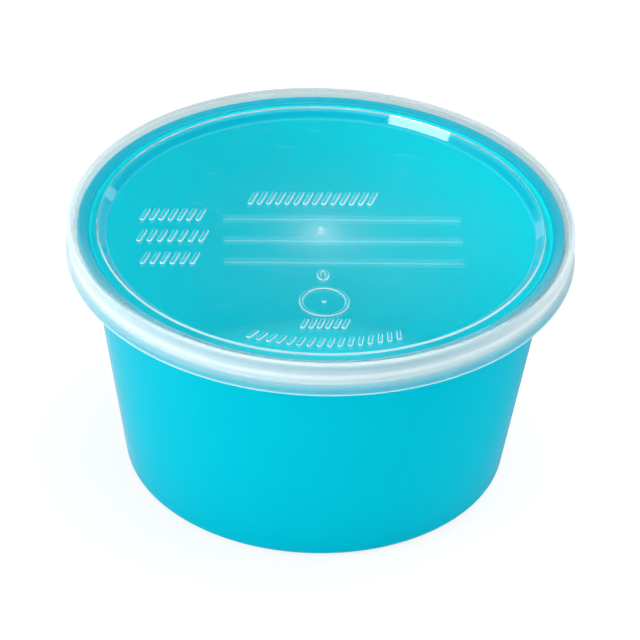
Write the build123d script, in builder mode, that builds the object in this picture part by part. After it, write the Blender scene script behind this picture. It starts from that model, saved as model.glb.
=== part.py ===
"""Round denture case: an open moulded cup and the snap lid that closes it.

Millimetres, +Z up. The origin is the centre of the ring that the cup stands on.
Both pieces are injection moulded and round about Z, so each one is a closed
cross-section revolved once. A cross-section is a list of corners, each given as
(radius, height, fillet), in order round the outline. The lid's section is worked
out from the cup's, so that the lid goes on fitting when the cup changes.
"""

import os
from math import cos, hypot, radians, tan

from build123d import *

# ---------------------------------------------------------------- cup sizes
base_radius = 40.1  # where the cup's wall, carried straight down, meets the table
rim_height = 55.5  # table to the flat part of the rim's top
wall_draft = 9.3  # degrees that the wall leans out from upright
cup_wall = 1.1
cup_floor = 1.2
foot_height = 0.8  # depth of the recess inside the foot ring
foot_ring_width = 3.7  # base radius to the inner edge of the foot ring
foot_chamfer = 0.9  # how far the recess's side leans in
foot_fillet = 2.2  # outside, between the wall and the foot
floor_fillet = 4.0  # inside, between the wall and the floor
rim_overhang = 2.11  # how far the rim stands out past the wall
rim_flange = 1.0  # thickness of the rim's top
rim_seat = 1.4  # width of the flat part of the rim's top that the lid sits on
rim_slope = 24.0  # degrees that the rest of the rim's top rises outwards
rim_lip_wall = 0.9  # thickness of the lip that hangs from the rim
rim_lip_drop = 2.8  # the flat part of the rim's top to the lip's lower edge
mouth_fillet = 1.2  # rounding of the rim's inner edge
rim_fillet = 0.4  # rounding of the rim's outer edge
cup_gate_radius = 1.6  # mark that the moulding gate leaves under the floor
cup_gate_height = 0.4

# ---------------------------------------------------------------- lid sizes
lid_wall = 0.85
seat_gap = 0.1  # between the lid's flat land and the cup's rim
crest_fillet = 1.0
land_inset = 1.18  # how far the land reaches inside the cup's mouth
recess_run = 1.85  # width of the sloped wall round the panel
panel_recess = 1.45  # how far the panel lies below the land
panel_wall = 0.9
channel_gap = 1.0  # room between the rim's lip and the lid's outer wall
groove_wall = 0.65  # the outer wall is thinnest at its finger groove
groove_depth = 0.35
groove_rise = 0.4  # the snap bead's upper end to the bottom of the groove
groove_flank = 1.8  # bottom of the groove to the bead's upright side
snap_gap = 0.12  # running clearance of the snap bead round the rim's lip
snap_drop = 0.6  # the rim lip's lower edge to the crest of the snap bead
snap_flank = 1.0  # height of the slope above and below the snap bead's crest
snap_fillet = 0.35
skirt_flare = 0.25  # how far the skirt's lower edge stands out past the bead
skirt_edge_wall = 0.8
skirt_edge_height = 0.8  # the snap bead's lower end to the skirt's edge
small_fillet = 0.3  # every other edge of both pieces

# ---------------------------------------------------------------- lid marks
strip_length = 50.3
strip_width = 3.2
strip_height = 0.12
strip_pitch = 8.15
strip_count = 3
strip_shift = 4.6  # the strips lie this far to the right of the centre
strip_back_edge = 7.5  # back edge of the rearmost strip
lid_gate_radius = 0.9
lid_gate_height = 0.25


def wall_outside(height):
    """Outer radius of the cup's leaning wall at a height."""
    return base_radius + height * tan(radians(wall_draft))


def wall_inside(height):
    """Inner radius of the cup's leaning wall at a height."""
    return wall_outside(height) - cup_wall / cos(radians(wall_draft))


def outline(corners):
    """A closed outline through (radius, height, fillet) corners."""
    return FilletPolyline(
        *[(radius, height) for radius, height, _ in corners],
        radius=[fillet for _, _, fillet in corners],
        close=True,
    )


os.makedirs("parts", exist_ok=True)

# ---------------------------------------------------------------- cup
# An open tub with a leaning wall. It stands on a narrow ring round a recessed
# floor. Its rim is a flange, flat where the lid sits and rising outside that, with a
# lip that hangs clear of the wall.
floor_top = foot_height + cup_floor
foot_ring_inner = base_radius - foot_ring_width
flange_under = rim_height - rim_flange
lip_bottom = rim_height - rim_lip_drop
rim_radius = wall_outside(rim_height) + rim_overhang
lip_inner = rim_radius - rim_lip_wall
mouth_radius = wall_inside(rim_height)
rim_rise = tan(radians(rim_slope))
seat_outer = mouth_radius + rim_seat
rim_top = rim_height + (rim_radius - seat_outer) * rim_rise
lip_root = flange_under + (lip_inner - seat_outer) * rim_rise

cup_corners = [
    (0, foot_height, 0),
    (foot_ring_inner - foot_chamfer, foot_height, small_fillet),
    (foot_ring_inner, 0, small_fillet),
    (base_radius, 0, foot_fillet),
    (wall_outside(flange_under), flange_under, small_fillet),
    (lip_inner, lip_root, small_fillet),
    (lip_inner, lip_bottom, small_fillet),
    (rim_radius, lip_bottom, small_fillet),
    (rim_radius, rim_top, rim_fillet),
    (seat_outer, rim_height, small_fillet),
    (mouth_radius, rim_height, mouth_fillet),
    (wall_inside(floor_top), floor_top, floor_fillet),
    (0, floor_top, 0),
]

with BuildPart() as cup:
    with BuildSketch(Plane.XZ):
        with BuildLine():
            outline(cup_corners)
        make_face()
    revolve(axis=Axis.Z)
    with BuildSketch(Plane.XY.offset(foot_height)):
        Circle(cup_gate_radius)
    extrude(amount=-cup_gate_height)
cup.part.label = "cup"
export_step(cup.part, "parts/cup.step")

# ---------------------------------------------------------------- lid
# A thin recessed panel inside a rim that clips over the cup's. From the panel
# outwards: a sloped wall that sinks into the cup's mouth, a flat land on the rim's
# seat, the bead that rises with the rim's slope, a finger groove, and a flared
# skirt with the snap bead inside it.
land_under = rim_height + seat_gap
land_top = land_under + lid_wall
land_inner = mouth_radius - land_inset

panel_radius = land_inner - recess_run
panel_top = land_top - panel_recess
panel_under = panel_top - panel_wall
recess_slope = panel_recess / recess_run
recess_thickness = lid_wall * hypot(1, recess_slope)
panel_under_radius = panel_radius + (recess_thickness - panel_wall) / recess_slope
land_under_radius = land_inner + (recess_thickness - lid_wall) / recess_slope

snap_radius = rim_radius + snap_gap
snap_height = lip_bottom - snap_drop
snap_top = snap_height + snap_flank
snap_bottom = snap_height - snap_flank
channel_radius = rim_radius + channel_gap
groove_radius = channel_radius + groove_wall
groove_height = snap_top + groove_rise
lid_radius = groove_radius + groove_depth
skirt_radius = lid_radius + skirt_flare
skirt_bottom = snap_bottom - skirt_edge_height

# The bead's two faces are parallel to the rim's slope: the lower one is the seat gap
# above it, and the upper one is a wall's thickness above that.
bead_thickness = lid_wall * hypot(1, rim_rise)
channel_start = seat_outer - seat_gap * (hypot(1, rim_rise) - 1) / rim_rise
channel_top = land_under + (channel_radius - channel_start) * rim_rise
land_outer = channel_start - (bead_thickness - lid_wall) / rim_rise
crest_corner = land_top + (lid_radius - land_outer) * rim_rise

lid_corners = [
    (0, panel_top, 0),
    (panel_radius, panel_top, small_fillet),
    (land_inner, land_top, small_fillet),
    (land_outer, land_top, crest_fillet),
    (lid_radius, crest_corner, crest_fillet),
    (lid_radius, groove_height + groove_flank, crest_fillet),
    (groove_radius, groove_height, crest_fillet),
    (skirt_radius, skirt_bottom, small_fillet),
    (skirt_radius - skirt_edge_wall, skirt_bottom, small_fillet),
    (channel_radius, snap_bottom, small_fillet),
    (snap_radius, snap_height, snap_fillet),
    (channel_radius, snap_top, small_fillet),
    (channel_radius, channel_top, small_fillet),
    (channel_start, land_under, small_fillet),
    (land_under_radius, land_under, small_fillet),
    (panel_under_radius, panel_under, small_fillet),
    (0, panel_under, 0),
]

# Ruled strips to write a name on, counted from the rearmost one.
first_strip = strip_back_edge - strip_width / 2
strip_places = [(strip_shift, first_strip - row * strip_pitch) for row in range(strip_count)]

with BuildPart() as lid:
    with BuildSketch(Plane.XZ):
        with BuildLine():
            outline(lid_corners)
        make_face()
    revolve(axis=Axis.Z)
    with BuildSketch(Plane.XY.offset(panel_top)):
        with Locations(*strip_places):
            Rectangle(strip_length, strip_width)
    extrude(amount=strip_height)
    with BuildSketch(Plane.XY.offset(panel_under)):
        Circle(lid_gate_radius)
    extrude(amount=-lid_gate_height)
lid.part.label = "lid"
export_step(lid.part, "parts/lid.step")
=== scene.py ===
"""A round denture cup and its snap lid, dressed over the CAD frame. Metres, Z up."""

import math

import bpy
import numpy as np
from mathutils import Matrix, Vector


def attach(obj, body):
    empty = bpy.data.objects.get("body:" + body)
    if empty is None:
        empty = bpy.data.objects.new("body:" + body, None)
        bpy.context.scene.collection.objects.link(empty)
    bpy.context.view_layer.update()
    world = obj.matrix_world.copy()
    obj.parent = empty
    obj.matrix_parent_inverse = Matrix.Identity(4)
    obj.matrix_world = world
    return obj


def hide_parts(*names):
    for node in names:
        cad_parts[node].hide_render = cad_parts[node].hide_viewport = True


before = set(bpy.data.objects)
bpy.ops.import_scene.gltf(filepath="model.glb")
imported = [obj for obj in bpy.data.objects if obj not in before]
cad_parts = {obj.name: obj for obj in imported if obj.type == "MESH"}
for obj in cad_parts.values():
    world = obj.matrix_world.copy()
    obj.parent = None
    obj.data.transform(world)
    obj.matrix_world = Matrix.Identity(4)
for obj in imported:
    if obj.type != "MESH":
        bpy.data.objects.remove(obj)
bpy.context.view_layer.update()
scene = bpy.context.scene

# ------------------------------------------------------------------ camera
# A long lens looks down on the lid from in front. It is leant a little to one
# side and stands a little to the left of the lid's ruled strips.
mm = 0.001  # metres
camera_aim = (0.39 * mm, 0, 32.6 * mm)
camera_distance = 1237.7 * mm
camera_drop = math.radians(34.29)
camera_swing = math.radians(-2.534)
camera_lean = math.radians(1.86)
lens_length, sensor_width = 328.6, 36  # millimetres
nearest_seen, furthest_seen = 0.1, 20  # metres

camera = bpy.data.cameras.new("camera")
camera.lens = lens_length
camera.sensor_width = sensor_width
camera.clip_start, camera.clip_end = nearest_seen, furthest_seen
camera_body = bpy.data.objects.new("camera", camera)
scene.collection.objects.link(camera_body)
camera_turn = (
    Matrix.Rotation(camera_swing, 4, "Z")
    @ Matrix.Rotation(math.pi / 2 - camera_drop, 4, "X")
    @ Matrix.Rotation(camera_lean, 4, "Z")
)
camera_body.matrix_world = (
    Matrix.Translation(Vector(camera_aim))
    @ camera_turn
    @ Matrix.Translation((0, 0, camera_distance))
)
scene.camera = camera_body

# ------------------------------------------------------------------ studio
# A white table that runs on under a white surround, and large soft lamps round it.
# The table keeps the case's shadow, and the glow that makes it white lights nothing.
scene.view_settings.view_transform = "Standard"
table_radius, table_sides = 4.0, 96
table_white, full_white = (0.98, 0.98, 0.98, 1), (1, 1, 1, 1)
glow_share = 0.8  # of the table's white that the lamps and shadows don't change
# What is left of that glow on the table's shaded side, where it is mirrored or seen through
# the clear lid. Blender counts both as glossy rays.
mirrored_shade = 0.2
shade_start, shade_end = 0.0, 0.06  # metres to the right of the case's middle


def new_material(name):
    """An empty node material with its output node."""
    material = bpy.data.materials.new(name)
    material.use_nodes = True
    material.node_tree.nodes.clear()
    output = material.node_tree.nodes.new("ShaderNodeOutputMaterial")
    return material, material.node_tree, output


def node(tree, kind, settings=None, **inputs):
    """A node of that kind. Its properties are set from a dict, and its inputs by name, or
    by number after an underscore, from a value or from another node's output."""
    made = tree.nodes.new(kind)
    for name, value in (settings or {}).items():
        setattr(made, name, value)
    for name, value in inputs.items():
        key = int(name[1:]) if name[0] == "_" else name.replace("_", " ")
        socket = made.inputs[key]
        if isinstance(value, bpy.types.NodeSocket):
            tree.links.new(value, socket)
        else:
            socket.default_value = value
    return made


def sum_of(tree, *sockets):
    """The sum of two or more sockets or numbers."""
    total = sockets[0]
    for socket in sockets[1:]:
        total = node(tree, "ShaderNodeMath", {"operation": "ADD"}, _0=total, _1=socket).outputs[0]
    return total


def faded(tree, value, start, end, first=0.0, last=1.0):
    """A number that runs evenly from first, where the value is at the start, to last,
    where it is at the end, and stays level beyond both."""
    return node(
        tree, "ShaderNodeMapRange", Value=value, From_Min=start, From_Max=end, To_Min=first, To_Max=last
    ).outputs[0]


def number_between(tree, share, one, other):
    """The number that lies that share of the way from one to the other."""
    return node(tree, "ShaderNodeMix", {"data_type": "FLOAT"}, _0=share, _2=one, _3=other).outputs[0]


# The table is a flat disc: point k lies on a circle, at the k-th of equal angles.
table_angle = np.linspace(0, 2 * np.pi, table_sides, endpoint=False)
table_points = table_radius * np.stack([np.cos(table_angle), np.sin(table_angle), 0 * table_angle], 1)
table_mesh = bpy.data.meshes.new("table")
table_mesh.from_pydata(table_points.tolist(), [], [list(range(len(table_points)))])
table = bpy.data.objects.new("table", table_mesh)
scene.collection.objects.link(table)
table_material, tree, output = new_material("table_white")
paths = node(tree, "ShaderNodeLightPath")
looking_rays = ("Is Camera Ray", "Is Glossy Ray", "Is Transmission Ray")
seen = sum_of(tree, *(paths.outputs[kind] for kind in looking_rays))
share = node(tree, "ShaderNodeMath", {"operation": "MULTIPLY", "use_clamp": True}, _0=seen, _1=glow_share)
across = node(tree, "ShaderNodeSeparateXYZ", Vector=node(tree, "ShaderNodeTexCoord").outputs["Object"])
shaded = faded(tree, across.outputs["X"], shade_start, shade_end, 1.0, mirrored_shade)
strength = number_between(tree, paths.outputs["Is Glossy Ray"], 1.0, shaded)
paint = node(tree, "ShaderNodeBsdfDiffuse", Color=table_white)
glow = node(tree, "ShaderNodeEmission", Color=full_white, Strength=strength)
surface = node(tree, "ShaderNodeMixShader", _0=share.outputs[0], _1=paint.outputs[0], _2=glow.outputs[0])
tree.links.new(surface.outputs[0], output.inputs["Surface"])
table_mesh.materials.append(table_material)

# The surround is white to the camera and lights the case evenly from every side. Mirrors
# and the clear lid show it only faintly, and hardly at all above the backdrop's edge.
room_light = 0.92
backdrop_mirror, room_mirror = 0.3, 0.04
backdrop_edge = 16, 21  # degrees above level, where the backdrop's upper edge starts and ends
world = bpy.data.worlds.new("room")
world.use_nodes = True
tree = world.node_tree
tree.nodes.clear()
output = tree.nodes.new("ShaderNodeOutputWorld")
paths = node(tree, "ShaderNodeLightPath")
direction = node(tree, "ShaderNodeTexCoord").outputs["Generated"]
climb = node(tree, "ShaderNodeSeparateXYZ", Vector=direction).outputs["Z"]
fade_start, fade_end = (math.sin(math.radians(degrees)) for degrees in backdrop_edge)
mirrored = faded(tree, climb, fade_start, fade_end, backdrop_mirror, room_mirror)
lit_by_room = number_between(tree, paths.outputs["Diffuse Depth"], mirrored, room_light)
strength = number_between(tree, paths.outputs["Is Camera Ray"], lit_by_room, 1.0)
background = node(tree, "ShaderNodeBackground", Color=full_white, Strength=strength)
tree.links.new(background.outputs[0], output.inputs["Surface"])
scene.world = world


def soft_lamp(name, place, aim, width, height, watts):
    """A rectangular soft lamp at a place, turned to face an aim."""
    lamp = bpy.data.lights.new(name, "AREA")
    lamp.shape, lamp.size, lamp.size_y, lamp.energy = "RECTANGLE", width, height, watts
    body = bpy.data.objects.new(name, lamp)
    scene.collection.objects.link(body)
    body.location = place
    body.rotation_euler = (Vector(aim) - Vector(place)).to_track_quat("-Z", "Y").to_euler()
    return body


# The lamps light the plastic but aren't mirrored in it or seen through the clear lid.
for name, place, aim, width, height, watts in (
    ("lamp_left", (-1.3, -0.5, 1.1), (0, 0, 0.04), 0.9, 0.9, 7.0),
    ("lamp_low_left", (-1.25, -0.55, 0.34), (0, 0, 0.03), 0.6, 0.4, 4.5),
    ("lamp_top", (0.45, 0.1, 1.6), (0, 0, 0.04), 1.2, 1.0, 15.0),
):
    lamp = soft_lamp(name, place, aim, width, height, watts)
    lamp.visible_glossy = False
    lamp.visible_transmission = False

# Cards that light nothing and are only mirrored, above all in the polished wall round the
# lid's panel.
for name, place, aim, width, height, watts in (
    ("card_back_right", (-0.605, -0.1, 1.08), (0.025, 0.04, 0.056), 0.34, 0.4, 5.0),
    ("card_left", (0.80, 0.76, 0.45), (-0.045, 0.012, 0.056), 0.16, 0.16, 0.15),
    ("card_right", (-0.58, 0.96, 0.27), (0.046, 0.0, 0.056), 0.16, 0.2, 0.1),
):
    card = soft_lamp(name, place, aim, width, height, watts)
    card.visible_diffuse = False
    card.visible_transmission = False

# ------------------------------------------------------------------ cup
# The cup is injection moulded in one shot from turquoise polypropylene, a little
# translucent and satin outside. Its inside is coloured far paler than its outside, which is
# painted light. It is turned here from the same section as its CAD solid, in finer steps,
# because the clear lid magnifies its rim.
cup_colour = (0.0, 0.57, 0.7, 1)
cup_colour_deep = (0.0, 0.545, 0.68, 1)
# painted light: the inside is coloured far paler than the outside, standing in for the light that reaches it
# through the lid
cup_inside_painted_light = (0.0, 0.95, 0.99, 1)
cup_floor_painted_sheen = (0.07, 0.93, 0.965, 1)  # painted sheen: the floor is coloured paler and greyer than the wall, as a more matt face would look; its roughness is the wall's
cup_mirror_tint = (0.0, 0.8, 1.0, 1)
cup_mirror, cup_roughness, cup_translucency = 0.03, 0.11, 0.4
cup_ior = 1.49
flow_scale, flow_detail = 40.0, 3.0  # slow drift of the colour
grain_scale, grain_detail, grain_strength, grain_depth = 2600.0, 2.0, 0.06, 0.0001

# Sizes are in millimetres from here on.
floor_edge, floor_edge_blur = 5.2, 0.1  # height at which the floor's rounded edge meets the wall
base_radius = 40.1  # where the cup's wall, carried straight down, meets the table
rim_height = 55.5  # table to the flat part of the rim's top
wall_draft = 9.3  # degrees that the wall leans out from upright
cup_wall, cup_floor = 1.1, 1.2
foot_height = 0.8  # depth of the recess inside the foot ring
foot_ring_width = 3.7  # base radius to the inner edge of the foot ring
foot_chamfer, foot_fillet = 0.9, 2.2  # on the recess's side, and between the wall and the foot
floor_fillet = 4.0  # inside, between the wall and the floor
rim_overhang = 2.11  # how far the rim stands out past the wall
rim_flange = 1.0  # thickness of the rim's top
rim_seat = 1.4  # width of the flat part of the rim's top that the lid sits on
rim_slope = 24  # degrees that the rest of the rim's top rises outwards
rim_lip_wall = 0.9  # thickness of the lip that hangs from the rim
rim_lip_drop = 2.8  # the flat part of the rim's top to the lip's lower edge
mouth_fillet, rim_fillet, small_fillet = 1.2, 0.4, 0.3
cup_gate_radius, cup_gate_height = 1.6, 0.4
around = 384  # points round every turned piece
cup_arc_steps = 6  # flats on each of its section's rounded corners
crease = 32  # degrees; edges that turn by more than this stay sharp

wall_lean = math.tan(math.radians(wall_draft))
level_wall = cup_wall * math.hypot(1, wall_lean)  # the wall's thickness, measured level
floor_top = foot_height + cup_floor
foot_ring_inner = base_radius - foot_ring_width
rim_radius = base_radius + rim_height * wall_lean + rim_overhang
mouth_radius = base_radius + rim_height * wall_lean - level_wall
seat_outer = mouth_radius + rim_seat
rim_rise = math.tan(math.radians(rim_slope))
rim_top = rim_height + (rim_radius - seat_outer) * rim_rise
lip_inner, lip_bottom = rim_radius - rim_lip_wall, rim_height - rim_lip_drop
flange_under = rim_height - rim_flange
lip_root = flange_under + (lip_inner - seat_outer) * rim_rise
gate_face = foot_height - cup_gate_height

cup_corners = [
    (0, floor_top, 0),
    (base_radius + floor_top * wall_lean - level_wall, floor_top, floor_fillet),
    (mouth_radius, rim_height, mouth_fillet),
    (seat_outer, rim_height, small_fillet),
    (rim_radius, rim_top, rim_fillet),
    (rim_radius, lip_bottom, small_fillet),
    (lip_inner, lip_bottom, small_fillet),
    (lip_inner, lip_root, small_fillet),
    (base_radius + flange_under * wall_lean, flange_under, small_fillet),
    (base_radius, 0, foot_fillet),
    (foot_ring_inner, 0, small_fillet),
    (foot_ring_inner - foot_chamfer, foot_height, small_fillet),
    (cup_gate_radius, foot_height, 0),
    (cup_gate_radius, gate_face, 0),
    (0, gate_face, 0),
]


def rounded_outline(corners, steps, closest=1e-6):
    """A closed outline through (radius, height, fillet) corners. Each corner is cut back
    along both of its sides by fillet times the tangent of half its turn, and an arc of
    that turn in equal steps joins the cuts. Points nearer than closest are one."""
    corners = np.array(corners, float)
    here, fillet = corners[:, :2], corners[:, 2:]
    into = here - np.roll(here, 1, 0)
    into /= np.linalg.norm(into, axis=1, keepdims=True)
    onward = np.roll(into, -1, 0)
    cross = into[:, 0] * onward[:, 1] - into[:, 1] * onward[:, 0]
    turn = np.arctan2(cross, (into * onward).sum(1))[:, None]
    inward = np.sign(turn) * np.stack([-into[:, 1], into[:, 0]], 1)
    centre = here - into * fillet * np.abs(np.tan(turn / 2)) + inward * fillet
    first = np.arctan2(-inward[:, 1:], -inward[:, :1])
    angle = first + turn * np.linspace(0, 1, steps + 1)
    arcs = centre[:, None] + fillet[:, :, None] * np.stack([np.cos(angle), np.sin(angle)], -1)
    points = arcs.reshape(-1, 2)
    return points[np.linalg.norm(points - np.roll(points, -1, 0), axis=1) > closest]


def mesh_of(name, points, faces):
    """A mesh from points in millimetres and lists of faces."""
    mesh = bpy.data.meshes.new(name)
    mesh.from_pydata((points.reshape(-1, 3) * mm).tolist(), [], faces)
    return mesh


def turned_solid(name, outline, around):
    """The outline carried round Z. Ring i of the grid is point i of the outline at equal
    angles: reach cos angle, reach sin angle, height. The first and last points, which lie
    on the axis, are each one vertex in the middle of a fan."""
    angle = np.linspace(0, 2 * np.pi, around, endpoint=False)
    reach, height = outline[1:-1, :1], outline[1:-1, 1:]
    grid = np.stack([reach * np.cos(angle), reach * np.sin(angle), height + 0 * angle], -1)
    poles = np.array([[0, 0, outline[0, 1]], [0, 0, outline[-1, 1]]])
    cell = np.arange(grid.size // 3).reshape(len(reach), around)
    beside = np.roll(cell, -1, 1)
    walls = np.stack([cell[:-1], cell[1:], beside[1:], beside[:-1]], -1).reshape(-1, 4)
    top = np.stack([np.full(around, cell.size), cell[0], beside[0]], -1)
    under = np.stack([np.full(around, cell.size + 1), beside[-1], cell[-1]], -1)
    points = np.vstack([grid.reshape(-1, 3), poles])
    return mesh_of(name, points, walls.tolist() + top.tolist() + under.tolist())


def place_on_piece(tree):
    """Where the surface is: its place on the level, its distance from the axis, its
    height, and how far it faces up."""
    place = node(tree, "ShaderNodeTexCoord")
    spot = node(tree, "ShaderNodeSeparateXYZ", Vector=place.outputs["Object"]).outputs
    flat = node(tree, "ShaderNodeCombineXYZ", X=spot["X"], Y=spot["Y"]).outputs[0]
    radius = node(tree, "ShaderNodeVectorMath", {"operation": "LENGTH"}, _0=flat).outputs["Value"]
    upward = node(tree, "ShaderNodeSeparateXYZ", Vector=place.outputs["Normal"]).outputs["Z"]
    return flat, radius, spot["Z"], upward


def compared(tree, value, relation, limit):
    """1 where the value is on that side of the limit, otherwise 0."""
    return node(tree, "ShaderNodeMath", {"operation": relation}, _0=value, _1=limit).outputs[0]


def colour_between(tree, share, one, other):
    """The colour that lies that share of the way from one to the other."""
    return node(tree, "ShaderNodeMix", {"data_type": "RGBA"}, _0=share, _6=one, _7=other).outputs[2]


# The outside is what lies beyond the middle of the wall or below the middle of the floor.
cup_material, tree, output = new_material("cup_plastic")
_, radius, height, _ = place_on_piece(tree)
wall_middle = node(
    tree,
    "ShaderNodeMath",
    {"operation": "MULTIPLY_ADD"},
    _0=height,
    _1=wall_lean,
    _2=(base_radius - level_wall / 2) * mm,
).outputs[0]
outer = compared(tree, radius, "GREATER_THAN", wall_middle)
under = compared(tree, height, "LESS_THAN", (foot_height + floor_top) / 2 * mm)
outside = node(tree, "ShaderNodeMath", {"operation": "MAXIMUM"}, _0=outer, _1=under).outputs[0]
place = node(tree, "ShaderNodeTexCoord").outputs["Object"]
flow = node(tree, "ShaderNodeTexNoise", Vector=place, Scale=flow_scale, Detail=flow_detail).outputs["Fac"]
tint = colour_between(tree, flow, cup_colour_deep, cup_colour)
on_floor = faded(tree, height, (floor_edge + floor_edge_blur) * mm, (floor_edge - floor_edge_blur) * mm)
# The inside's paler colour and the floor's greyer one are painted light.
lining_painted_light = colour_between(tree, on_floor, cup_inside_painted_light, cup_floor_painted_sheen)
skin = colour_between(tree, outside, lining_painted_light, tint)
grain = node(tree, "ShaderNodeTexNoise", Vector=place, Scale=grain_scale, Detail=grain_detail)
grain_bump = node(
    tree, "ShaderNodeBump", Height=grain.outputs["Fac"], Strength=grain_strength, Distance=grain_depth
)
plastic = node(
    tree,
    "ShaderNodeBsdfPrincipled",
    Base_Color=skin,
    Roughness=cup_roughness,
    IOR=cup_ior,
    Specular_Tint=cup_mirror_tint,
    Specular_IOR_Level=cup_mirror,
    Normal=grain_bump.outputs[0],
)
glow_through = node(tree, "ShaderNodeBsdfTranslucent", Color=skin)
walls_mix = node(
    tree, "ShaderNodeMixShader", _0=cup_translucency, _1=plastic.outputs[0], _2=glow_through.outputs[0]
)
tree.links.new(walls_mix.outputs[0], output.inputs["Surface"])

cup_mesh = turned_solid("cup_body", rounded_outline(cup_corners, cup_arc_steps), around)
cup_mesh.shade_smooth()
cup_mesh.set_sharp_from_angle(angle=math.radians(crease))
cup_mesh.materials.append(cup_material)
cup = bpy.data.objects.new("cup_body", cup_mesh)
scene.collection.objects.link(cup)
settle = cup.modifiers.new("settle", "WEIGHTED_NORMAL")
settle.keep_sharp = True
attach(cup, "cup")
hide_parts("cup")

# ------------------------------------------------------------------ lid
# The lid is one shot of soft, milky low-density polyethylene: a thin clear panel sunk
# inside a thicker rim that clips over the cup's lip. Its marks are cut in the mould,
# so they stand on the panel as ribs of the same plastic.
lid_wall, panel_wall = 0.85, 0.9
seat_gap = 0.1  # between the lid's flat land and the cup's rim
land_inset = 1.18  # how far the land reaches inside the cup's mouth
recess_run, panel_recess = 1.85, 1.45  # width and depth of the sloped wall round the panel
channel_gap = 1.0  # room between the rim's lip and the lid's outer wall
groove_wall, groove_depth = 0.65, 0.35  # the outer wall at its finger groove
groove_rise = 0.4  # the snap bead's upper end to the bottom of the groove
groove_flank = 1.8  # bottom of the groove to the bead's upright side
snap_gap = 0.12  # running clearance of the snap bead round the rim's lip
snap_drop = 0.6  # the rim lip's lower edge to the crest of the snap bead
snap_flank = 1.0  # height of the slope above and below the snap bead's crest
skirt_flare = 0.25  # how far the skirt's lower edge stands out past the bead
skirt_edge_wall, skirt_edge_height = 0.8, 0.8  # its height is counted up to the snap bead
snap_fillet, crest_fillet = 0.35, 1.0
lid_arc_steps = 5

land_under = rim_height + seat_gap
land_top = land_under + lid_wall
land_inner = mouth_radius - land_inset
panel_radius = land_inner - recess_run
panel_top = land_top - panel_recess
panel_under = panel_top - panel_wall
recess_slope = panel_recess / recess_run
recess_thickness = lid_wall * math.hypot(1, recess_slope)
panel_under_radius = panel_radius + (recess_thickness - panel_wall) / recess_slope
land_under_radius = land_inner + (recess_thickness - lid_wall) / recess_slope

snap_radius = rim_radius + snap_gap
snap_height = lip_bottom - snap_drop
snap_top, snap_bottom = snap_height + snap_flank, snap_height - snap_flank
channel_radius = rim_radius + channel_gap
groove_radius = channel_radius + groove_wall
groove_height = snap_top + groove_rise
lid_radius = groove_radius + groove_depth
skirt_radius = lid_radius + skirt_flare
skirt_bottom = snap_bottom - skirt_edge_height

bead_thickness = lid_wall * math.hypot(1, rim_rise)
channel_start = seat_outer - seat_gap * (math.hypot(1, rim_rise) - 1) / rim_rise
channel_top = land_under + (channel_radius - channel_start) * rim_rise
land_outer = channel_start - (bead_thickness - lid_wall) / rim_rise
crest_corner = land_top + (lid_radius - land_outer) * rim_rise

lid_corners = [
    (0, panel_top, 0),
    (panel_radius, panel_top, small_fillet),
    (land_inner, land_top, small_fillet),
    (land_outer, land_top, crest_fillet),
    (lid_radius, crest_corner, crest_fillet),
    (lid_radius, groove_height + groove_flank, crest_fillet),
    (groove_radius, groove_height, crest_fillet),
    (skirt_radius, skirt_bottom, small_fillet),
    (skirt_radius - skirt_edge_wall, skirt_bottom, small_fillet),
    (channel_radius, snap_bottom, small_fillet),
    (snap_radius, snap_height, snap_fillet),
    (channel_radius, snap_top, small_fillet),
    (channel_radius, channel_top, small_fillet),
    (channel_start, land_under, small_fillet),
    (land_under_radius, land_under, small_fillet),
    (panel_under_radius, panel_under, small_fillet),
    (0, panel_under, 0),
]

# The marks on the panel. A mark is a set of rings, one above another: point k of a ring
# lies at the mark's anchor k, plus the ring's reach along heading k. The gate's mark is a
# narrower and lower ridge than the others.
mark_sunk = -0.3  # every mark starts this far down in the panel
rib_reach = np.array([0.48, 0.48, 0.42, 0.32, 0.2])
rib_rise = np.array([mark_sunk, 0, 0.1, 0.17, 0.2])
ridge_reach = np.array([0.42, 0.42, 0.36, 0.24, 0.1, -0.1, -0.24, -0.36, -0.42, -0.42])
ridge_rise = np.array([mark_sunk, 0, 0.1, 0.17, 0.2, 0.2, 0.17, 0.1, 0, mark_sunk])
gate_narrowing, gate_lowering = 0.4, 0.5
gate_reach = ridge_reach * gate_narrowing
gate_rise = np.where(ridge_rise > 0, ridge_rise * gate_lowering, ridge_rise)
strip_reach = np.array([0, 0, -0.34])
strip_rise = np.array([mark_sunk, 0, 0.08])


def raised(anchor, heading, reach, rise, hollow=False):
    """Marks on the panel as closed meshes. Point k of ring i of mark m lies at
    anchor[m, k] + reach[i] * heading[m, k], and rise[i] above the panel. A hollow mark's
    last ring joins its first, and any other mark has a cap on each of the two."""
    flat_points = anchor[:, None] + reach[None, :, None, None] * heading[:, None]
    height = np.broadcast_to(panel_top + rise[None, :, None, None], flat_points.shape[:3] + (1,))
    points = np.concatenate([flat_points, height], -1)
    cell = np.arange(points.size // 3).reshape(points.shape[:3])
    rings = np.roll(cell, -1, 1) if hollow else cell[:, 1:]
    lower = cell if hollow else cell[:, :-1]
    sides = np.stack([lower, np.roll(lower, -1, 2), np.roll(rings, -1, 2), rings], -1).reshape(-1, 4)
    caps = [] if hollow else cell[:, 0, ::-1].tolist() + cell[:, -1].tolist()
    return points.reshape(-1, 3), sides.tolist() + caps


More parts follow.
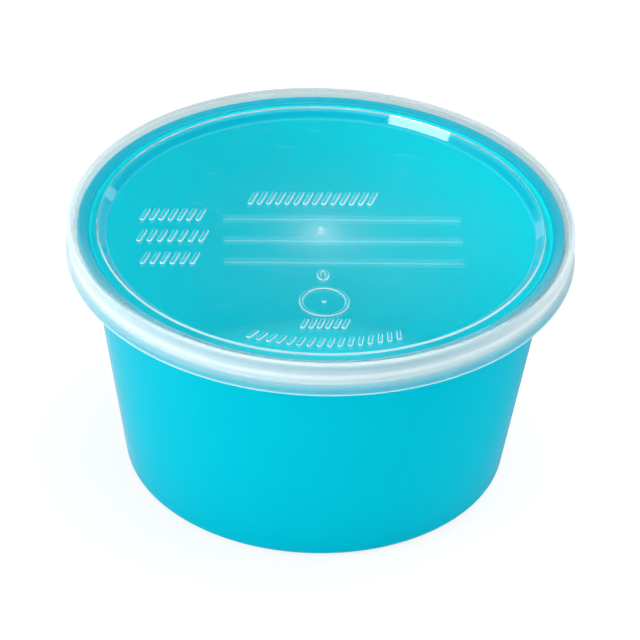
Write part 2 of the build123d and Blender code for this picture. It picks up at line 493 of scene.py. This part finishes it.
def bars(ends, steps=6):
    """Anchors and headings of straight bars with round ends, from their ends
    (x0, y0, x1, y1). Half of the points turn about the far end, from the bar's right side
    to its left, and the others turn about the near end."""
    ends = np.array(ends, float).reshape(-1, 2, 2)
    along = ends[:, 1] - ends[:, 0]
    along /= np.linalg.norm(along, axis=1, keepdims=True)
    across = np.stack([-along[:, 1], along[:, 0]], 1)
    half_turn = np.linspace(-np.pi / 2, np.pi / 2, steps + 1)
    turn = np.concatenate([half_turn, half_turn + np.pi])[None, :, None]
    heading = np.cos(turn) * along[:, None] + np.sin(turn) * across[:, None]
    return np.repeat(ends[:, ::-1], steps + 1, 1), heading


def hoops(centres, half_sizes, steps=40):
    """Anchors and headings of ellipses, from their centres and half sizes: anchor k is the
    centre plus the half sizes times the cosine and sine of the k-th of equal angles."""
    angle = np.linspace(0, 2 * np.pi, steps, endpoint=False)
    heading = np.stack([np.cos(angle), np.sin(angle)], -1)[None]
    centres, half_sizes = np.array(centres)[:, None], np.array(half_sizes)[:, None]
    return centres + half_sizes * heading, heading + 0 * centres


def rib_row(x, y, width, height, count, slant=0.35):
    """Ends of a row of ribs that fills a width and a height about a centre. The ribs stand
    at equal steps, and each leans to the right by slant times its height."""
    places = x + np.linspace(-0.5, 0.5, count) * (width - 2 * rib_reach[0] - slant * height)
    half = height / 2 - rib_reach[0]
    return np.stack(
        [places - slant * half, 0 * places + y - half, places + slant * half, 0 * places + y + half], 1
    )


def rib_arc(radius, height, half_angle, count, slant=0.35):
    """Ends of ribs that stand at equal angles on an arc round the front of the panel, each
    from one side of the arc to the other and leaning as the rows' ribs do."""
    angle = np.radians(-90 + np.linspace(-half_angle, half_angle, count))
    outward = np.stack([np.cos(angle), np.sin(angle)], 1)
    right = np.stack([-outward[:, 1], outward[:, 0]], 1)
    half = height / 2 - rib_reach[0]
    near = outward * (radius + half) - right * slant * half
    far = outward * (radius - half) + right * slant * half
    return np.concatenate([near, far], 1)


# Rows of plain slanting ribs, an arc of them along the front, a ring with a dot in it, an
# upright oval, and the mark that the moulding gate leaves.
rib_ends = np.concatenate(
    [
        rib_row(-1.4, 12.8, 28.0, 5.0, 14),
        rib_row(-31.0, 6.2, 14.3, 4.6, 7),
        rib_row(-31.1, -1.85, 15.5, 4.6, 7),
        rib_row(-31.7, -10.3, 12.9, 4.6, 6),
        rib_row(0.0, -34.1, 10.7, 3.6, 6),
        rib_arc(40.85, 3.3, 21.5, 16),
        [[0, -26.01, 0, -25.99]],  # the dot in the middle of the ring
    ]
)
ring_and_oval = hoops([[0, -26.0], [0, -16.2]], [[4.8, 5.1], [0.85, 1.65]])
gate_mark = hoops([[0, 1.3]], [[0.3, 0.55]], 20)

# Three ruled strips to write a name on. Each is a low block whose top is smaller than its
# foot, by one share of the reach in front and three at the back and at both ends.
strip_left, strip_right = -20.55, 29.75
strip_backs = np.array([7.5, -0.65, -8.8])
strip_width = 3.2
strip_x = np.array([strip_left, strip_right])[[0, 1, 1, 0]]
strip_y = np.array([-strip_width, 0])[[0, 0, 1, 1]]
strip_anchor = np.stack(np.broadcast_arrays(strip_x, strip_backs[:, None] + strip_y), -1)
strip_heading = np.array([[-3, -1], [3, -1], [3, 3], [-3, 3]])[None] + 0 * strip_anchor

mark_points, mark_faces = np.zeros((0, 3)), []
for points, faces in (
    raised(*bars(rib_ends), rib_reach, rib_rise),
    raised(*ring_and_oval, ridge_reach, ridge_rise, hollow=True),
    raised(*gate_mark, gate_reach, gate_rise, hollow=True),
    raised(strip_anchor, strip_heading, strip_reach, strip_rise),
):
    mark_faces += [[len(mark_points) + corner for corner in face] for face in faces]
    mark_points = np.vstack([mark_points, points])

# The marks and the turned shell are joined to one closed mesh.
shell_mesh = turned_solid("lid_shell", rounded_outline(lid_corners, lid_arc_steps), around)
shell = bpy.data.objects.new("lid_shell_blank", shell_mesh)
marks = bpy.data.objects.new("lid_marks_blank", mesh_of("lid_marks", mark_points, mark_faces))
for blank in (shell, marks):
    scene.collection.objects.link(blank)
union = shell.modifiers.new("marks", "BOOLEAN")
union.operation, union.solver, union.object = "UNION", "MANIFOLD", marks
lid_mesh = bpy.data.meshes.new_from_object(shell.evaluated_get(bpy.context.evaluated_depsgraph_get()))
lid_mesh.shade_smooth()
lid = bpy.data.objects.new("lid_shell", lid_mesh)
scene.collection.objects.link(lid)
for blank in (shell, marks):
    bpy.data.objects.remove(blank)
settle = lid.modifiers.new("settle", "WEIGHTED_NORMAL")
settle.keep_sharp = True

# The plastic is clear where it is thin and milky where it is thick, and part of its milk is
# painted highlights, glints and reflection. The panel and the wall round it are polished,
# and the rim outside them is a little frosted.
milk_colour = (0.95, 0.98, 0.985, 1)
trapped_milk = 0.8  # more milk where light runs along inside the plastic and can't leave it
trapped_start, trapped_full = 0.28, 0.42  # Layer Weight's facing where that begins and is full
lamp_share = (0.96, 0.97, 0.975, 1)  # of a lamp's light that each face lets through
lid_ior = 1.51
panel_tint = (0.97, 0.99, 1.0)
# painted shade: the sloped wall round the panel is tinted darker, for the shade in the cup's mouth seen
# through it
recess_painted_shade = (0.55, 0.82, 0.93)
rim_tint = (0.91, 0.98, 0.99, 1)
panel_roughness = 0.05
haze_and_reflection_centre = (7 * mm, -4 * mm, 0)  # of the wide faint haze, which is partly a painted reflection
cloud_scale, cloud_detail, cloud_base = 45.0, 2.0, 0.5
scratch_scale, scratch_stretch, scratch_detail = 900.0, (0.2, 1.0, 1.0), 1.0
scratch_turn, scratch_milk = (0, 0, math.radians(28)), 0.06
scratch_start, scratch_full = 0.70, 0.78  # of the noise that the scratches are cut from
marks_reach = 44.4  # no mark stands further from the axis
above_panel = 0.005  # and every mark stands higher than this over the panel
# The marks' steep sides and rounded edges get milk that is partly frost and partly painted glints.
flank_start, flank_full, flank_milk_and_glint = 0.905, 0.72, 0.85  # upward part of a steep side's normal
edge_start, edge_full, edge_milk_and_glint = 0.988, 0.98, 0.03  # and of a rounded edge's


def ramp(tree, value, stops):
    """Straight lines through (millimetres, colour or grey) stops, read off at a value in metres."""
    first, last = stops[0][0], stops[-1][0]
    made = node(tree, "ShaderNodeValToRGB", Fac=faded(tree, value, first * mm, last * mm))
    elements = made.color_ramp.elements
    while len(elements) < len(stops):
        elements.new(0.5)
    for element, (place, shade) in zip(elements, stops):
        element.position = (place - first) / (last - first)
        element.color = (*(shade if isinstance(shade, tuple) else (shade,) * 3), 1)
    return made.outputs["Color"]


def product(tree, *sockets):
    """The product of two or more sockets or numbers."""
    total = sockets[0]
    for socket in sockets[1:]:
        total = node(tree, "ShaderNodeMath", {"operation": "MULTIPLY"}, _0=total, _1=socket).outputs[0]
    return total


def lid_plastic(tree, output, milk_and_painted_light_share, tint, roughness):
    """Clear plastic of a tint, with a share of milk that scatters light to both sides.
    Lamps shine through it."""
    clear = node(
        tree,
        "ShaderNodeBsdfPrincipled",
        Base_Color=tint,
        Roughness=roughness,
        IOR=lid_ior,
        Transmission_Weight=1,
    )
    white = node(tree, "ShaderNodeBsdfDiffuse", Color=milk_colour)
    through = node(tree, "ShaderNodeBsdfTranslucent", Color=milk_colour)
    milk = node(tree, "ShaderNodeMixShader", _0=0.5, _1=white.outputs[0], _2=through.outputs[0])
    behind = node(tree, "ShaderNodeNewGeometry").outputs["Backfacing"]
    slanting = node(tree, "ShaderNodeLayerWeight").outputs["Facing"]
    trapped = faded(tree, slanting, trapped_start, trapped_full, 0.0, trapped_milk)
    share = node(
        tree,
        "ShaderNodeMath",
        {"operation": "MULTIPLY_ADD", "use_clamp": True},
        _0=trapped,
        _1=behind,
        _2=milk_and_painted_light_share,
    )
    body = node(tree, "ShaderNodeMixShader", _0=share.outputs[0], _1=clear.outputs[0], _2=milk.outputs[0])
    paths = node(tree, "ShaderNodeLightPath")
    lamps = node(tree, "ShaderNodeBsdfTransparent", Color=lamp_share)
    for_lamps = paths.outputs["Is Shadow Ray"]
    whole = node(tree, "ShaderNodeMixShader", _0=for_lamps, _1=body.outputs[0], _2=lamps.outputs[0])
    tree.links.new(whole.outputs[0], output.inputs["Surface"])


# The panel's milk is a haze round the gate, a wide faint one that is a little cloudy and
# partly a painted reflection, scuffs, frost on the marks' edges that is partly painted
# glints, and a painted highlight line along the upper edge of the sloped wall.
panel_material, tree, output = new_material("lid_panel_plastic")
flat, radius, height, upward = place_on_piece(tree)
gate_haze = ramp(tree, radius, [(0, 0.26), (2, 0.11), (6, 0.035), (12, 0.006), (18, 0.001), (47, 0.001)])
drift = node(tree, "ShaderNodeVectorMath", {"operation": "DISTANCE"}, _0=flat, _1=haze_and_reflection_centre)
# The wide haze is partly real cloudiness and partly a painted reflection.
wide_haze_and_reflection = ramp(tree, drift.outputs["Value"], [(0, 0.026), (15, 0.018), (28, 0.008), (40, 0.001)])
place = node(tree, "ShaderNodeTexCoord").outputs["Object"]
cloud = node(tree, "ShaderNodeTexNoise", Vector=place, Scale=cloud_scale, Detail=cloud_detail).outputs["Fac"]
turned = node(tree, "ShaderNodeMapping", Vector=place, Rotation=scratch_turn, Scale=scratch_stretch)
scratches = node(
    tree, "ShaderNodeTexNoise", Vector=turned.outputs[0], Scale=scratch_scale, Detail=scratch_detail
)
scuffs = faded(tree, scratches.outputs["Fac"], scratch_start, scratch_full, 0.0, scratch_milk)
# painted highlight: a thin line of milk along the upper edge of the sloped wall
corner_painted_highlight = ramp(tree, radius, [(46.78, 0.0), (46.84, 0.18), (46.94, 0.18), (47.0, 0.0)])
topside = compared(tree, upward, "GREATER_THAN", 0.0)
flank = faded(tree, upward, flank_start, flank_full, 0.0, flank_milk_and_glint)
edge = faded(tree, upward, edge_start, edge_full, 0.0, edge_milk_and_glint)
on_panel = compared(tree, radius, "LESS_THAN", marks_reach * mm)
raised_part = compared(tree, height, "GREATER_THAN", (panel_top + above_panel) * mm)
mark_frost_and_glints = product(tree, sum_of(tree, flank, edge), on_panel, raised_part)
strip_frost = ramp(
    tree,
    height,
    [(panel_top + 0.06, 0), (panel_top + 0.07, 0.006), (panel_top + 0.09, 0.006), (panel_top + 0.1, 0)],
)
# The sloped wall's darker tint is painted shade.
tint = ramp(
    tree,
    radius,
    [(44.9, panel_tint), (45.2, recess_painted_shade), (46.6, recess_painted_shade), (46.9, panel_tint)],
)
milk_and_painted_light_share = sum_of(
    tree,
    gate_haze,
    product(tree, wide_haze_and_reflection, sum_of(tree, cloud, cloud_base)),
    product(tree, scuffs, on_panel),
    mark_frost_and_glints,
    strip_frost,
    product(tree, corner_painted_highlight, topside),
)
lid_plastic(tree, output, milk_and_painted_light_share, tint, panel_roughness)

# The rim's milk, part of which is painted highlights on the crest, the finger groove and the
# skirt's lower edge, goes by the distance from the axis on its top, and by the height on its
# outer wall, which starts past the channel below the bead's slope and past the crest above.
past_channel, past_crest = (52.1, 52.25), (52.85, 53.05)  # from the axis
under_slope = (56.4, 56.1)  # above the table
rim_material, tree, output = new_material("lid_rim_plastic")
_, radius, height, _ = place_on_piece(tree)
top_milk_and_crest_highlight = ramp(
    tree,
    radius,
    [(47.0, 0.001), (49.2, 0.001), (50, 0.02), (52.1, 0.05), (52.55, 0.12), (52.8, 0.55), (53.9, 0.5)],
)
# painted highlights: the peaks near 50.3, 54.6 and 57.7 mm stand for highlights on the skirt's edge, the
# finger groove and the crest
wall_milk_and_highlights = ramp(
    tree,
    height,
    [
        (50.3, 0.25), (50.6, 0.03), (51.0, 0.04), (51.6, 0.1), (52.4, 0.3), (53.3, 0.42),
        (54.2, 0.55), (54.6, 0.85), (55.0, 0.6), (55.8, 0.4), (56.6, 0.3), (57.2, 0.4), (57.7, 0.5),
    ],
)
beyond_channel = faded(tree, radius, past_channel[0] * mm, past_channel[1] * mm)
beyond_crest = faded(tree, radius, past_crest[0] * mm, past_crest[1] * mm)
below_slope = faded(tree, height, under_slope[0] * mm, under_slope[1] * mm)
on_wall = sum_of(tree, product(tree, beyond_channel, below_slope), beyond_crest)
rim_milk_and_highlights = number_between(tree, on_wall, top_milk_and_crest_highlight, wall_milk_and_highlights)
rim_roughness = ramp(tree, radius, [(51.4, 0.1), (52.8, 0.4)])
lid_plastic(tree, output, rim_milk_and_highlights, rim_tint, rim_roughness)

# The marks' edges stay sharp at a smaller turn than the shell's, and the rim's plastic
# starts where the sloped wall meets the land.
mark_crease = 4  # degrees
panel_margin = 0.5  # inside the panel's edge
recess_margin, land_margin = 0.15, 0.01  # past the sloped wall, and above the land
lid_mesh.materials.clear()
lid_mesh.materials.append(panel_material)
lid_mesh.materials.append(rim_material)
spots = np.empty(3 * len(lid_mesh.vertices))
lid_mesh.vertices.foreach_get("co", spots)
spots = spots.reshape(-1, 3) / mm
edge_ends = np.empty(2 * len(lid_mesh.edges), int)
lid_mesh.edges.foreach_get("vertices", edge_ends)
edge_middles = spots[edge_ends.reshape(-1, 2)].mean(1)
on_panel_edge = np.hypot(*edge_middles[:, :2].T) < panel_radius - panel_margin


def sharp_edges(degrees):
    """Which edges of the lid turn by more than an angle."""
    lid_mesh.set_sharp_from_angle(angle=math.radians(degrees))
    sharp = np.zeros(len(lid_mesh.edges), bool)
    if "sharp_edge" in lid_mesh.attributes:
        lid_mesh.attributes["sharp_edge"].data.foreach_get("value", sharp)
    return sharp


sharp = np.where(on_panel_edge, sharp_edges(mark_crease), sharp_edges(crease))
lid_mesh.attributes["sharp_edge"].data.foreach_set("value", sharp)
middles = np.empty(3 * len(lid_mesh.polygons))
lid_mesh.polygons.foreach_get("center", middles)
middles = middles.reshape(-1, 3) / mm
beyond_recess = np.hypot(*middles[:, :2].T) > land_inner + recess_margin
above_land = middles[:, 2] > land_top + land_margin
lid_mesh.polygons.foreach_set("material_index", (beyond_recess | above_land).astype(int))
lid_mesh.update()
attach(lid, "lid")
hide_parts("lid")
